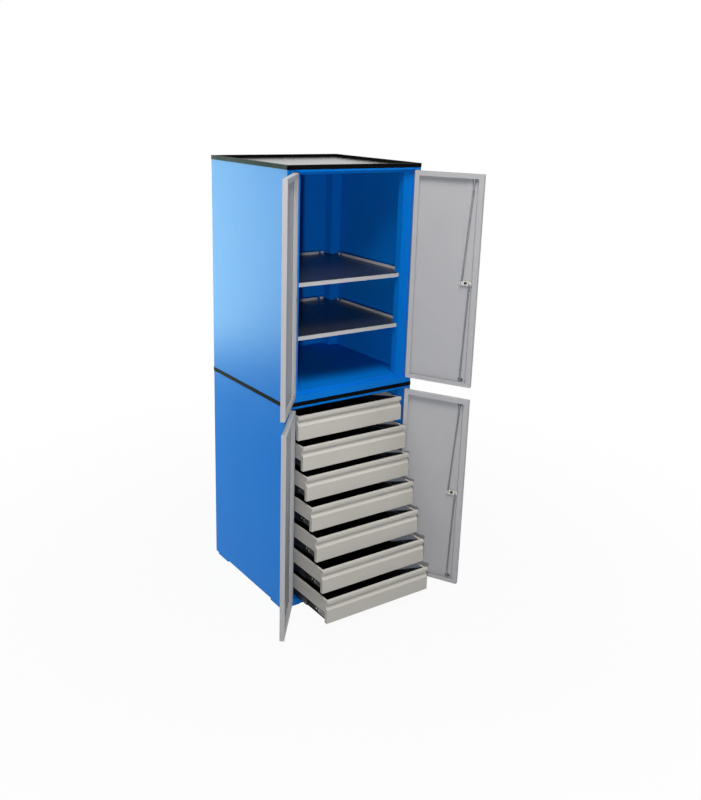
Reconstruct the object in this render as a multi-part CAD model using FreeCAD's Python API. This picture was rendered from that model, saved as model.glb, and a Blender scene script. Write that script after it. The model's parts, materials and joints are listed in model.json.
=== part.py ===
import FreeCAD, Part
import math
import os

Vector = FreeCAD.Vector

# Overall sizes of the two stacked steel modules, in mm
WIDTH = 685.0
DEPTH = 661.0
MODULE_H = 1000.0
SHEET = 1.5
FOOT_H = 15.0
FOOT_X = 96.0
FOOT_Y = 102.0
FOOT_INSET_X = 4.0
FOOT_INSET_Y = 16.0
FOOT_ROUND = 2.0

# Black edging that rims the top of each module, and the mat inside the upper one
EDGE_H = 18.0
EDGE_W = 14.0
EDGE_PROUD = 2.0
EDGE_ROUND = 3.0
MAT_T = 4.0
MAT_GAP = 0.5
OVERCUT = 1.0

# Front frame: upright face, rebate that takes the door, door stop behind it
UPRIGHT_FACE = 23.0
STOP_GAP = 2.0
TOP_RAIL = 8.0
BOTTOM_RAIL = 28.0
STOP_LIP = 13.0
UPPER_STOP = 75.0
UPPER_RETURN = 35.0
LOWER_STOP = 56.0
LOWER_RETURN = 20.0

# Doors: folded pans with a raised hem around the inside
DOOR_T = 20.0
DOOR_SKIN = 1.2
DOOR_HEM = 21.0
DOOR_GAP = 3.0
CENTRE_GAP = 3.0
UPPER_LEFT_REST = 129.4
LOWER_LEFT_REST = 128.6
RIGHT_REST = 117.5
BAND_W = 46.0
BAND_T = 3.0

# Continuous hinges
KNUCKLE_R = 3.5
PIN_R = 1.5
PIN_CLEAR = 0.05
LEAF_T = 1.2
LEAF_GAP = 0.6
LEAF_END_GAP = 4.0
KNUCKLES = 17
KNUCKLE_CLEAR = 3.0
LEAF_CLEAR = 0.4

# Three-point lock of each right door, places measured from the cabinet's middle with the door shut
LOCK_X = 56.0
CAM_ARM = 18.0
CAM_W = 20.0
CAM_T = 2.5
CAM_CLEAR = 0.3
END_FLAT = 1.0
SPINDLE_R = 5.0
SPINDLE_CLEAR = 0.05
BOSS_R = 15.0
BOSS_H = 12.0
BOSS_CLEAR = 0.4
LEVER_L = 85.0
LEVER_W = 18.0
LEVER_T = 10.0
NUT_R = 6.0
NUT_H = 3.0
ROD_R = 3.2
ROD_CLEAR = 1.2
ROD_PLAY = 0.5
ROD_HEM_GAP = 0.6
ROD_THROW = 8.0
ROD_EYE_R = 6.5
ROD_EYE_T = 2.5
TONGUE_L = 34.0
TONGUE_W = 8.0
TOP_ROD_X = 46.0
BOTTOM_ROD_X = 53.0
KNEE_FROM_END = 76.0
RIVET_R = 4.6
RIVET_H = 3.8
GUIDE_FROM_END = 30.0
GUIDE_W = 24.0
GUIDE_H = 12.0
GUIDE_T = 2.0
GUIDE_GAP = 1.2
GUIDE_CLEAR = 0.5

# Shelves of the upper module, heights above its base
SHELF_HEIGHTS = (514.0, 282.0)
SHELF_T = 1.2
SHELF_SIDE_GAP = 1.5
SHELF_FRONT_GAP = 6.0
SHELF_REAR_GAP = 41.0
SHELF_WALL_GAP = 36.0
SHELF_NECK_GAP = 13.0
SHELF_NOTCH_GAP = 30.0
SHELF_LIP_DOWN = 17.0
SHELF_LIP_UP = 14.0
LIP_END_GAP = 12.0
LIP_TAB = 18.0
LIP_SLOT = 14.0
REAR_POST_W = 55.0
REAR_POST_FRONT = 55.0
CLIP_L = 20.0
CLIP_H = 20.0
CLIP_LEDGE = 12.0
CLIP_BEAR = 9.0
CLIP_PROUD = 3.0

# Drawers of the lower module: how far each is pulled out, top one first, and the gaps around them
DRAWER_OUT = (41.0, 83.0, 117.0, 160.0, 204.0, 256.0, 295.0)
DRAWER_GAP = 19.0
DRAWER_FLOOR_GAP = 3.0
DRAWER_TOP_GAP = 25.0
DRAWER_SIDE_GAP = 4.0
DRAWER_SET_BACK = 4.0
DRAWER_REAR_GAP = 43.5
DRAWER_SHEET = 1.2
SLOPE_H = 15.0
GROOVE_H = 12.0
GROOVE_D = 13.0
BEAD_H = 17.0
BEAD_ROUND = 3.0
FRONT_RETURN = 17.0
FRONT_FOOT = 8.0
BOX_INSET = 3.5
BOX_DROP = 3.0
BOX_BACK_DROP = 8.0
BOX_BOTTOM = 4.0
BOX_HEM = 9.0
STEP_GAP = 3.0

# Telescopic slides: fixed, middle and drawer members nested in one another
SLIDE_H = 35.0
SLIDE_Z = 4.0
SLIDE_T = 1.5
SLIDE_NEST = 0.5
SLIDE_SPACE = 13.3
SLIDE_FRONT_GAP = 3.0
SLIDE_REAR_GAP = 1.0
RUN_GAP = 1.8
POST_W = 40.0
POST_INSET = 10.0

# Derived planes
HALF = WIDTH / 2
FRONT = -DEPTH / 2
BACK = DEPTH / 2
WALL = HALF - SHEET
JAMB = HALF - UPRIGHT_FACE
SHELF_WIDE = 2 * (WALL - SHELF_WALL_GAP)
SHELF_NOTCH = REAR_POST_FRONT + SHELF_NOTCH_GAP
REAR_POST_X = WALL - REAR_POST_W
REBATE = DOOR_T + STOP_GAP
STOP_Y = FRONT + REBATE
HINGE_X = JAMB - LEAF_T - LEAF_GAP / 2
HINGE_Y = FRONT - KNUCKLE_R
DOOR_EDGE = HINGE_X - LEAF_GAP / 2 - LEAF_T
ROD_DEPTH = DOOR_T - DOOR_SKIN - ROD_HEM_GAP - ROD_R
CAM_DEPTH = ROD_DEPTH - ROD_EYE_T / 2 - CAM_CLEAR - CAM_T


class Module:
    """One stacked cabinet: height range, how far its door stops reach in, rest angle of its left door."""

    def __init__(self, name, base, top, stop, turn, left_rest):
        self.name = name
        self.base = base
        self.top = top
        self.stop_x = HALF - stop
        self.turn = turn
        self.left_rest = left_rest
        self.floor = base + BOTTOM_RAIL + STOP_LIP
        self.door_z0 = base + BOTTOM_RAIL + DOOR_GAP
        self.door_z1 = top - TOP_RAIL - DOOR_GAP


LOWER = Module("lower", FOOT_H, MODULE_H - EDGE_H, LOWER_STOP, LOWER_RETURN, LOWER_LEFT_REST)
UPPER = Module("upper", MODULE_H, 2 * MODULE_H - EDGE_H, UPPER_STOP, UPPER_RETURN, UPPER_LEFT_REST)

# Drawer sizes that follow from the lower module's opening
DRAWER_LOW = LOWER.floor + DRAWER_FLOOR_GAP
DRAWER_HIGH = LOWER.top - TOP_RAIL - STOP_LIP - DRAWER_TOP_GAP
DRAWER_PITCH = (DRAWER_HIGH - DRAWER_LOW + DRAWER_GAP) / len(DRAWER_OUT)
DRAWER_Y = STOP_Y + DRAWER_SET_BACK
FRONT_W = 2 * (LOWER.stop_x - DRAWER_SIDE_GAP)
FRONT_H = DRAWER_PITCH - DRAWER_GAP
FACE_H = FRONT_H - BEAD_H - GROOVE_H - SLOPE_H
BOX_W = FRONT_W - 2 * BOX_INSET
BOX_L = BACK - SHEET - DRAWER_REAR_GAP - DRAWER_Y
BOX_TOP = FRONT_H - BOX_DROP
BOX_STEP = SLIDE_Z + SLIDE_H + STEP_GAP
SLIDE_START = FRONT_RETURN + SLIDE_FRONT_GAP
SLIDE_L = BOX_L - SLIDE_START - SLIDE_REAR_GAP
POST_X = BOX_W / 2 + RUN_GAP
RECESS = POST_X - SLIDE_SPACE
NEST = SLIDE_T + SLIDE_NEST


def box(x0, x1, y0, y1, z0, z1):
    """Box between two x, two y and two z planes, given in either order."""
    low = Vector(min(x0, x1), min(y0, y1), min(z0, z1))
    return Part.makeBox(abs(x1 - x0), abs(y1 - y0), abs(z1 - z0), low)


def prism(points, direction):
    """Polygon swept along a vector."""
    face = Part.Face(Part.makePolygon(list(points) + [points[0]]))
    solid = face.extrude(direction)
    if solid.Volume < 0:
        solid.reverse()
    return solid


def band(path, thick):
    """Outline of a folded sheet: an open path thickened to its right (left if thick is negative)."""
    normals = []
    for (ax, ay), (bx, by) in zip(path, path[1:]):
        length = math.hypot(bx - ax, by - ay)
        normals.append(((by - ay) / length, (ax - bx) / length))
    inner = []
    for i, (px, py) in enumerate(path):
        n1 = normals[max(i - 1, 0)]
        n2 = normals[min(i, len(normals) - 1)]
        k = thick / (1.0 + n1[0] * n2[0] + n1[1] * n2[1])
        inner.append((px + k * (n1[0] + n2[0]), py + k * (n1[1] + n2[1])))
    return list(path) + inner[::-1]


def upright(outline, side, z0, z1):
    """Outline in x and y swept upwards, mirrored to the left for side -1."""
    return prism([Vector(side * x, y, z0) for x, y in outline], Vector(0, 0, z1 - z0))


def fused(shapes):
    """One solid from touching or overlapping shapes."""
    return shapes[0].fuse(shapes[1:]).removeSplitter()


def rod(a, b, radius):
    """Round bar between two points."""
    return Part.makeCylinder(radius, (b - a).Length, a, b - a)


def save(name, shapes):
    """Write one node, a single solid or a group of like solids."""
    shape = shapes if not isinstance(shapes, list) else Part.makeCompound(shapes)
    shape.exportStep(os.path.join("parts", name + ".step"))


def side_panel(m, side):
    """Side wall folded at the front into upright face, rebate, door stop and return."""
    path = [
        (HALF, BACK),
        (HALF, FRONT),
        (JAMB, FRONT),
        (JAMB, STOP_Y),
        (m.stop_x, STOP_Y),
        (m.stop_x, STOP_Y + m.turn),
    ]
    return upright(band(path, SHEET), side, m.base + SHEET, m.top - SHEET)


def back_panel(m):
    """Flat back between the side walls."""
    return box(-WALL, WALL, BACK - SHEET, BACK, m.base + SHEET, m.top - SHEET)


def rail(m, face_z, ledge_z, lip_z, inward):
    """Front rail: face, ledge of the rebate and door-stop lip; inward is the ledge's sheet side."""
    ledge_in = ledge_z + inward * SHEET
    return [
        box(-JAMB, JAMB, FRONT, FRONT + SHEET, face_z, ledge_z),
        box(-JAMB, JAMB, FRONT, STOP_Y, ledge_z, ledge_in),
        box(-m.stop_x, m.stop_x, STOP_Y, STOP_Y + SHEET, ledge_in, lip_z),
    ]


def rod_slot(x, z):
    """Cut through a level sheet at height z where a locking rod passes with the door shut."""
    half = ROD_R + ROD_CLEAR
    deep = ROD_R + ROD_PLAY
    y = FRONT + ROD_DEPTH
    return box(x - half, x + half, y - deep, y + deep, z - 2 * SHEET, z + 2 * SHEET)


def top_panel(m):
    """Top sheet with the top front rail folded down from it."""
    ledge = m.top - TOP_RAIL
    pieces = [box(-HALF, HALF, FRONT, BACK, m.top - SHEET, m.top)]
    pieces += rail(m, m.top - SHEET, ledge, ledge - STOP_LIP, 1)
    return fused(pieces).cut(rod_slot(TOP_ROD_X, ledge))


def floor_panel(m):
    """Base sheet, bottom front rail and raised floor."""
    ledge = m.base + BOTTOM_RAIL
    post_rear = STOP_Y + m.turn
    pieces = [box(-HALF, HALF, FRONT, BACK, m.base, m.base + SHEET)]
    pieces += rail(m, m.base + SHEET, ledge, m.floor, -1)
    pieces.append(box(-m.stop_x, m.stop_x, STOP_Y, BACK - SHEET, m.floor - SHEET, m.floor))
    pieces.append(box(-WALL, WALL, post_rear, BACK - SHEET, m.floor - SHEET, m.floor))
    return fused(pieces).cut(rod_slot(BOTTOM_ROD_X, ledge))


def edging(m):
    """Rim bar around the top sheet, standing a little proud of the carcass."""
    x = HALF + EDGE_PROUD
    y = BACK + EDGE_PROUD
    outer = box(-x, x, -y, y, m.top, m.top + EDGE_H)
    corners = [e for e in outer.Edges if abs(e.tangentAt(e.FirstParameter).z) > 0.9]
    outer = outer.makeFillet(EDGE_ROUND, corners)
    x -= EDGE_W
    y -= EDGE_W
    return outer.cut(box(-x, x, -y, y, m.top - OVERCUT, m.top + EDGE_H + OVERCUT))


def top_mat():
    """Rubber mat lying inside the upper rim."""
    x = HALF + EDGE_PROUD - EDGE_W - MAT_GAP
    y = BACK + EDGE_PROUD - EDGE_W - MAT_GAP
    return box(-x, x, -y, y, UPPER.top, UPPER.top + MAT_T)


def feet():
    """Four pads under the corners, with rounded lower edges."""
    pads = []
    for sx in (-1, 1):
        for sy in (-1, 1):
            x1 = HALF - FOOT_INSET_X
            y1 = BACK - FOOT_INSET_Y
            pad = box(sx * x1, sx * (x1 - FOOT_X), sy * y1, sy * (y1 - FOOT_Y), 0, FOOT_H)
            low = [e for e in pad.Edges if e.BoundBox.ZMax < FOOT_H / 2]
            pads.append(pad.makeFillet(FOOT_ROUND, low))
    return pads


def rear_posts():
    """Angle posts in the rear corners of the upper module."""
    y = BACK - REAR_POST_FRONT
    path = [(WALL, y), (REAR_POST_X, y), (REAR_POST_X, BACK - SHEET)]
    return [upright(band(path, SHEET), s, UPPER.floor, UPPER.top - SHEET) for s in (-1, 1)]


def shelf(z):
    """Shelf tray: narrow between the door stops, wide behind them, notched for the posts; z is its face."""
    x = UPPER.stop_x - SHELF_SIDE_GAP
    wide = SHELF_WIDE / 2
    y0 = STOP_Y + SHELF_FRONT_GAP
    y1 = STOP_Y + UPPER_RETURN + SHELF_NECK_GAP
    y2 = BACK - SHELF_NOTCH
    y3 = BACK - SHELF_REAR_GAP
    right = [(x, y0), (x, y1), (wide, y1), (wide, y2), (x, y2), (x, y3)]
    outline = right + [(-px, py) for px, py in right[::-1]]
    low = z - SHELF_T
    up = z + SHELF_LIP_UP
    pieces = [prism([Vector(px, py, low) for px, py in outline], Vector(0, 0, SHELF_T))]
    pieces.append(box(-x, x, y0, y0 + SHELF_T, z - SHELF_LIP_DOWN, z))
    rear = x - LIP_END_GAP
    slot = rear - LIP_TAB
    pieces.append(box(LIP_SLOT - slot, slot - LIP_SLOT, y3 - SHELF_T, y3, low, up))
    end = y2 - LIP_END_GAP
    gap = end - LIP_TAB
    for s in (-1, 1):
        pieces.append(box(s * slot, s * rear, y3 - SHELF_T, y3, low, up))
        pieces.append(box(s * wide, s * (wide - SHELF_T), y1, gap - LIP_SLOT, low, up))
        pieces.append(box(s * wide, s * (wide - SHELF_T), gap, end, low, up))
    return fused(pieces)


def shelf_clips():
    """Angle clips under each shelf, two on the door stops' returns and two on the rear posts."""
    clips = []
    y = STOP_Y + UPPER_RETURN - CLIP_L
    x = UPPER.stop_x
    rear_y = BACK - REAR_POST_FRONT
    bear_y = BACK - SHELF_NOTCH - CLIP_BEAR
    x1 = SHELF_WIDE / 2 + CLIP_PROUD
    x0 = x1 - CLIP_L
    for height in SHELF_HEIGHTS:
        z = UPPER.base + height - SHELF_T
        for s in (-1, 1):
            tab = box(s * x, s * (x - SHELF_T), y, y + CLIP_L, z - CLIP_H, z)
            ledge = box(s * x, s * (x - CLIP_LEDGE), y, y + CLIP_L, z - SHELF_T, z)
            clips.append(fused([tab, ledge]))
            tab = box(s * x0, s * x1, rear_y - SHELF_T, rear_y, z - CLIP_H, z)
            ledge = box(s * x0, s * x1, bear_y, rear_y, z - SHELF_T, z)
            clips.append(fused([tab, ledge]))
    return clips


def runner_posts():
    """Channel posts that carry the drawer slides, two on each side."""
    posts = []
    front = DRAWER_Y + SLIDE_START + POST_INSET
    rear = DRAWER_Y + SLIDE_START + SLIDE_L - POST_INSET - POST_W
    for s in (-1, 1):
        for y0 in (front, rear):
            y1 = y0 + POST_W
            path = [(WALL, y0), (POST_X, y0), (POST_X, y1), (WALL, y1)]
            posts.append(upright(band(path, SHEET), s, LOWER.floor, LOWER.top - SHEET))
    return posts


def hinge_spans(m):
    """Height ranges of the knuckles of one door, the frame's at even places."""
    pitch = (m.door_z1 - m.door_z0) / KNUCKLES
    spans = []
    for i in range(KNUCKLES):
        z = m.door_z0 + i * pitch
        spans.append((z + KNUCKLE_CLEAR / 2, z + pitch - KNUCKLE_CLEAR / 2))
    return spans


def hinge_leaf(m, side, x_near, x_far, first, bore):
    """Leaf with every second knuckle; x_near and x_far bound the leaf plate."""
    y0 = HINGE_Y + KNUCKLE_R + LEAF_CLEAR
    y1 = STOP_Y - LEAF_END_GAP
    root = HINGE_Y + (PIN_R + KNUCKLE_R) / 2
    pieces = [box(side * x_near, side * x_far, y0, y1, m.door_z0, m.door_z1)]
    for z0, z1 in hinge_spans(m)[first::2]:
        at = Vector(side * HINGE_X, HINGE_Y, z0)
        ring = Part.makeCylinder(KNUCKLE_R, z1 - z0, at)
        tab = box(side * x_near, side * x_far, root, y0, z0, z1)
        pieces.append(ring.fuse(tab).cut(Part.makeCylinder(bore, z1 - z0, at)))
    return fused(pieces)


def frame_leaf(m, side):
    """Leaf fixed to the rebate of the upright."""
    return hinge_leaf(m, side, HINGE_X + LEAF_GAP / 2, JAMB, 0, PIN_R)


def hinge_pin(m, side):
    """Pin through all knuckles of one door."""
    at = Vector(side * HINGE_X, HINGE_Y, m.door_z0)
    return Part.makeCylinder(PIN_R, m.door_z1 - m.door_z0, at)


def opened(m, shape, side):
    """Turn a closed door's part about its hinge to the open angle it rests at."""
    angle = RIGHT_REST if side > 0 else -m.left_rest
    shape.rotate(Vector(side * HINGE_X, HINGE_Y, 0), Vector(0, 0, 1), angle)
    return shape


def lock_point(x, depth, z):
    """Point on a closed right door: x from the cabinet's middle, depth from the outer face."""
    return Vector(x, FRONT + depth, z)


def lock_z(m):
    """Height of the lock, the middle of the door."""
    return (m.door_z0 + m.door_z1) / 2


def round_ends(plate, width):
    """Plate lying across y with its four outer corners rounded, all but a small flat."""
    corners = [e for e in plate.Edges if abs(e.tangentAt(e.FirstParameter).y) > 0.9]
    return plate.makeFillet((width - END_FLAT) / 2, corners)


def door(m, side):
    """Door pan with hem, hinge leaf and, on the right, a stiffening band and lock holes."""
    x0 = CENTRE_GAP / 2
    x1 = DOOR_EDGE
    y1 = FRONT + DOOR_T
    t = DOOR_SKIN
    h = DOOR_HEM
    z0, z1 = m.door_z0, m.door_z1
    pan = box(side * x0, side * x1, FRONT, y1, z0, z1)
    pan = pan.cut(box(side * (x0 + t), side * (x1 - t), FRONT + t, y1 - t, z0 + t, z1 - t))
    pan = pan.cut(box(side * (x0 + h), side * (x1 - h), y1 - 2 * t, y1 + t, z0 + h, z1 - h))
    pieces = [pan, hinge_leaf(m, side, HINGE_X - LEAF_GAP / 2, DOOR_EDGE, 1, PIN_R + PIN_CLEAR)]
    if side < 0:
        return fused(pieces)
    band_x = LOCK_X - BAND_W / 2
    pieces.append(box(band_x, band_x + BAND_W, FRONT + t, FRONT + t + BAND_T, z0 + t, z1 - t))
    start = lock_point(LOCK_X, -t, lock_z(m))
    bore = rod(start, start + Vector(0, DOOR_T, 0), SPINDLE_R + SPINDLE_CLEAR)
    return fused(pieces).cut([bore, rod_slot(TOP_ROD_X, z1), rod_slot(BOTTOM_ROD_X, z0)])


def lock_handle(m):
    """Lever outside the door with its boss and spindle, lying level while unlocked."""
    z = lock_z(m)
    half = LEVER_W / 2
    out = lock_point(LOCK_X, -BOSS_CLEAR - BOSS_H, z)
    spindle = rod(out, lock_point(LOCK_X, CAM_DEPTH, z), SPINDLE_R)
    boss = rod(out, lock_point(LOCK_X, -BOSS_CLEAR, z), BOSS_R)
    lever = box(LOCK_X - BOSS_R, LOCK_X + LEVER_L, out.y - LEVER_T, out.y, z - half, z + half)
    return fused([round_ends(lever, LEVER_W), boss, spindle])


def lock_cam(m):
    """Double-armed cam on the spindle's inner end, with its nut."""
    z = lock_z(m)
    half = CAM_W / 2
    reach = CAM_ARM + half
    c = lock_point(LOCK_X, CAM_DEPTH, z)
    plate = box(c.x - reach, c.x + reach, c.y, c.y + CAM_T, z - half, z + half)
    nut = rod(c + Vector(0, CAM_T, 0), c + Vector(0, CAM_T + NUT_H, 0), NUT_R)
    return fused([round_ends(plate, CAM_W), nut])


def rod_points(m, way):
    """Cam end, knee and tip of an unlocked rod, way 1 for the rod that goes up and -1 for the one down."""
    edge, x = (m.door_z1, TOP_ROD_X) if way > 0 else (m.door_z0, BOTTOM_ROD_X)
    cam_end = lock_point(LOCK_X + way * CAM_ARM, ROD_DEPTH, lock_z(m))
    knee = lock_point(x, ROD_DEPTH, edge - way * KNEE_FROM_END)
    return cam_end, knee, lock_point(x, ROD_DEPTH, edge - way * (CAM_ARM - ROD_THROW))


def lock_rod(m, way):
    """Rod from a cam arm to a riveted knee and on to the door's edge, flattened to an eye at the cam."""
    a, knee, tip = rod_points(m, way)
    along = (knee - a).normalize()
    across = Vector(along.z, 0, -along.x) * (TONGUE_W / 2)
    half = Vector(0, ROD_EYE_T / 2, 0)
    root = a + along * TONGUE_L
    end = root + along * ROD_R
    tongue = prism([p - half for p in (a - across, a + across, end + across, end - across)], half * 2)
    deep = Vector(0, RIVET_H, 0)
    rivet = rod(knee - deep, knee + deep, RIVET_R)
    eye = rod(a - half, a + half, ROD_EYE_R)
    return fused([rod(root, knee, ROD_R), rod(knee, tip, ROD_R), rivet, tongue, eye])


def rod_guides(m):
    """Forked guides on the door's stiffening band, one near each end of the door."""
    guides = []
    half = ROD_R + GUIDE_CLEAR
    y0 = FRONT + DOOR_SKIN + BAND_T
    y1 = FRONT + DOOR_T - DOOR_SKIN - GUIDE_GAP
    for way, edge, x in ((1, m.door_z1, TOP_ROD_X), (-1, m.door_z0, BOTTOM_ROD_X)):
        z = edge - way * GUIDE_FROM_END
        low, high = z - GUIDE_H / 2, z + GUIDE_H / 2
        pieces = [box(x - GUIDE_W / 2, x + GUIDE_W / 2, y0, y0 + GUIDE_T, low, high)]
        for s in (-1, 1):
            pieces.append(box(x + s * half, x + s * (half + GUIDE_T), y0, y1, low, high))
        guides.append(fused(pieces))
    return guides


def drawer_front():
    """Folded front: foot, flat face, slope back into the grip groove, rounded bead on top."""
    half = FRONT_W / 2
    t = DRAWER_SHEET
    knee = FACE_H + SLOPE_H
    path = [(FRONT_FOOT, 0), (0, 0), (0, FACE_H), (GROOVE_D, knee), (GROOVE_D, FRONT_H)]
    outline = [Vector(-half, y, z) for y, z in band(path, t)]
    pieces = [prism(outline, Vector(FRONT_W, 0, 0))]
    end = [(0, 0)] + path[2:] + [(FRONT_RETURN, FRONT_H), (FRONT_RETURN, 0)]
    for s in (-1, 1):
        pieces.append(prism([Vector(s * half, y, z) for y, z in end], Vector(-s * t, 0, 0)))
    pieces.append(box(-half, half, GROOVE_D, GROOVE_D + t, 0, knee))
    bead = box(-half, half, 0, GROOVE_D + t, FRONT_H - BEAD_H, FRONT_H)
    lips = [e for e in bead.Edges if e.BoundBox.YMax < t and e.BoundBox.XLength > BEAD_H]
    pieces.append(bead.makeFillet(min(BEAD_ROUND, (BEAD_H - END_FLAT) / 2), lips))
    return pieces


def drawer_box():
    """Stepped sides that leave room for the slides, floor and back."""
    half = BOX_W / 2
    t = DRAWER_SHEET
    wall = [(half, BOX_STEP), (RECESS, BOX_STEP), (RECESS, BOX_BOTTOM)]
    side = [(half - BOX_HEM, BOX_TOP), (half, BOX_TOP)] + wall
    path = [(-x, z) for x, z in side] + side[::-1]
    outline = [Vector(x, GROOVE_D, z) for x, z in band(path, -t)]
    shell = prism(outline, Vector(0, BOX_L - GROOVE_D, 0))
    edge = [(half, BOX_TOP - BOX_BACK_DROP)] + wall
    rim = [(-x, z) for x, z in edge] + edge[::-1]
    back = prism([Vector(x, BOX_L - t, z) for x, z in rim], Vector(0, t, 0))
    return [shell, back]


def drawer():
    """Whole drawer, its front face on y = 0 and its lower edge on z = 0."""
    return fused(drawer_front() + drawer_box())


def channel(x_web, x_open, inset):
    """Pair of slide members, left and right: web at x_web, flanges reaching to x_open."""
    z0 = SLIDE_Z + inset
    z1 = SLIDE_Z + SLIDE_H - inset
    way = 1 if x_open > x_web else -1
    path = [(x_open, z0), (x_web, z0), (x_web, z1), (x_open, z1)]
    members = []
    for s in (-1, 1):
        outline = [Vector(s * x, SLIDE_START, z) for x, z in band(path, way * SLIDE_T)]
        members.append(prism(outline, Vector(0, SLIDE_L, 0)))
    return members


OUTER = channel(POST_X, RECESS + 2 * NEST, 0)
MIDDLE = channel(POST_X - NEST, RECESS + NEST, NEST)
INNER = channel(RECESS, POST_X - 2 * NEST - SLIDE_T, 2 * NEST)


def placed(shapes, out, z):
    """Copies of shapes moved to a drawer's place, pulled out by a distance."""
    at = Vector(0, DRAWER_Y - out, z)
    return [s.translated(at) for s in shapes]


os.makedirs("parts", exist_ok=True)

for m in (LOWER, UPPER):
    save(m.name + "_side_left", side_panel(m, -1))
    save(m.name + "_side_right", side_panel(m, 1))
    save(m.name + "_back", back_panel(m))
    save(m.name + "_top", top_panel(m))
    save(m.name + "_floor", floor_panel(m))
    save(m.name + "_edging", edging(m))
    save(m.name + "_door_left", opened(m, door(m, -1), -1))
    save(m.name + "_door_right", opened(m, door(m, 1), 1))
    save(m.name + "_lock_handle", opened(m, lock_handle(m), 1))
    save(m.name + "_lock_cam", opened(m, lock_cam(m), 1))
    save(m.name + "_rod_top", opened(m, lock_rod(m, 1), 1))
    save(m.name + "_rod_bottom", opened(m, lock_rod(m, -1), 1))
    save(m.name + "_rod_guides", [opened(m, g, 1) for g in rod_guides(m)])

save("feet", feet())
save("top_mat", top_mat())
save("rear_posts", rear_posts())
save("shelf_upper", shelf(UPPER.base + SHELF_HEIGHTS[0]))
save("shelf_lower", shelf(UPPER.base + SHELF_HEIGHTS[1]))
save("shelf_clips", shelf_clips())
save("runner_posts", runner_posts())
save("hinge_frame_leaves", [frame_leaf(m, s) for m in (LOWER, UPPER) for s in (-1, 1)])
save("hinge_pins", [hinge_pin(m, s) for m in (LOWER, UPPER) for s in (-1, 1)])

body = drawer()
fixed = []
for i, out in enumerate(DRAWER_OUT):
    z = DRAWER_HIGH - FRONT_H - i * DRAWER_PITCH
    number = str(i + 1)
    save("drawer_" + number, placed([body], out, z)[0])
    save("drawer_slide_" + number, placed(INNER, out, z))
    save("middle_slide_" + number, placed(MIDDLE, out / 2, z))
    fixed += placed(OUTER, 0, z)
save("fixed_slides", fixed)
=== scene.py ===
"""Stacked steel tool cabinet, dressed for rendering: finishes, small fittings, studio and camera."""

import json
import logging
import math
from dataclasses import dataclass
from enum import Enum

import bmesh
import bpy
from mathutils import Euler, Matrix, Vector

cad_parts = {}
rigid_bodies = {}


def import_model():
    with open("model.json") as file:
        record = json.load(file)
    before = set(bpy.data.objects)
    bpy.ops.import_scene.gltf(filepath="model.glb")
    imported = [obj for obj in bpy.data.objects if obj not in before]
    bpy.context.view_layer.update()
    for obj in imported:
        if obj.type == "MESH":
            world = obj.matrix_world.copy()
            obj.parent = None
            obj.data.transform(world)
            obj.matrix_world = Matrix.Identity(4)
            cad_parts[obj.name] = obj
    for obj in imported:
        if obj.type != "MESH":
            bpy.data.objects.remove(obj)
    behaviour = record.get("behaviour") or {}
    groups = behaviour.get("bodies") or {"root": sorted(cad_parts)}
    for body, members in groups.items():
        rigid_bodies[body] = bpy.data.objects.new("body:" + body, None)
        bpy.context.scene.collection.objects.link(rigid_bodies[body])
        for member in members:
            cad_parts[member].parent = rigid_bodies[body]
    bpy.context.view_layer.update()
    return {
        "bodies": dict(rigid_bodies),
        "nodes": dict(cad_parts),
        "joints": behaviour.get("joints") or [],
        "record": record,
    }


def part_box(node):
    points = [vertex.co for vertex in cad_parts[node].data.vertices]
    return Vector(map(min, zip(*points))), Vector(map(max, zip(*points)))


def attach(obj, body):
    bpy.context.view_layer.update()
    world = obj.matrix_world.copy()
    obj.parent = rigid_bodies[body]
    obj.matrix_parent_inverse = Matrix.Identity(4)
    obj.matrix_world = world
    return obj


log = logging.getLogger("tool_cabinet")

MM = 0.001
SMOOTH_BELOW_DEG = 35.0
ON_AXIS_MM = 1e-6
WHITE = (1.0, 1.0, 1.0, 1.0)


def srgb(code: str) -> tuple[float, float, float, float]:
    """Turn an sRGB hex colour into linear light.

    Args:
        code: six hex digits after a hash sign.

    Returns:
        Linear red, green and blue, with an alpha of 1.
    """
    channels = [int(code[i:i + 2], 16) / 255 for i in (1, 3, 5)]
    linear = [c / 12.92 if c <= 0.04045 else ((c + 0.055) / 1.055) ** 2.4 for c in channels]
    return (*linear, 1.0)


def per_metre(size_mm: float) -> float:
    """Texture scale whose pattern repeats about every size_mm millimetres."""
    return 1.0 / (size_mm * MM)


def node(tree: bpy.types.NodeTree, kind: str, settings: dict | None = None,
         inputs: dict | None = None) -> bpy.types.Node:
    """Add a node with its settings and links.

    Args:
        tree: node tree that gets the node.
        kind: node type.
        settings: attribute names and their values.
        inputs: sockets by name or number, each with a value or the output that feeds it.

    Returns:
        The new node.
    """
    made = tree.nodes.new(kind)
    for name, value in (settings or {}).items():
        setattr(made, name, value)
    for key, value in (inputs or {}).items():
        if isinstance(value, bpy.types.NodeSocket):
            tree.links.new(value, made.inputs[key])
        else:
            made.inputs[key].default_value = value
    return made


class Slot(Enum):
    """Material slots of the record."""

    BLUE = "blue_paint"
    GREY = "grey_paint"
    EDGING = "black_edging"
    MAT = "rubber_mat"
    ZINC = "zinc_steel"
    HANDLE = "black_handle"


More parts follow.
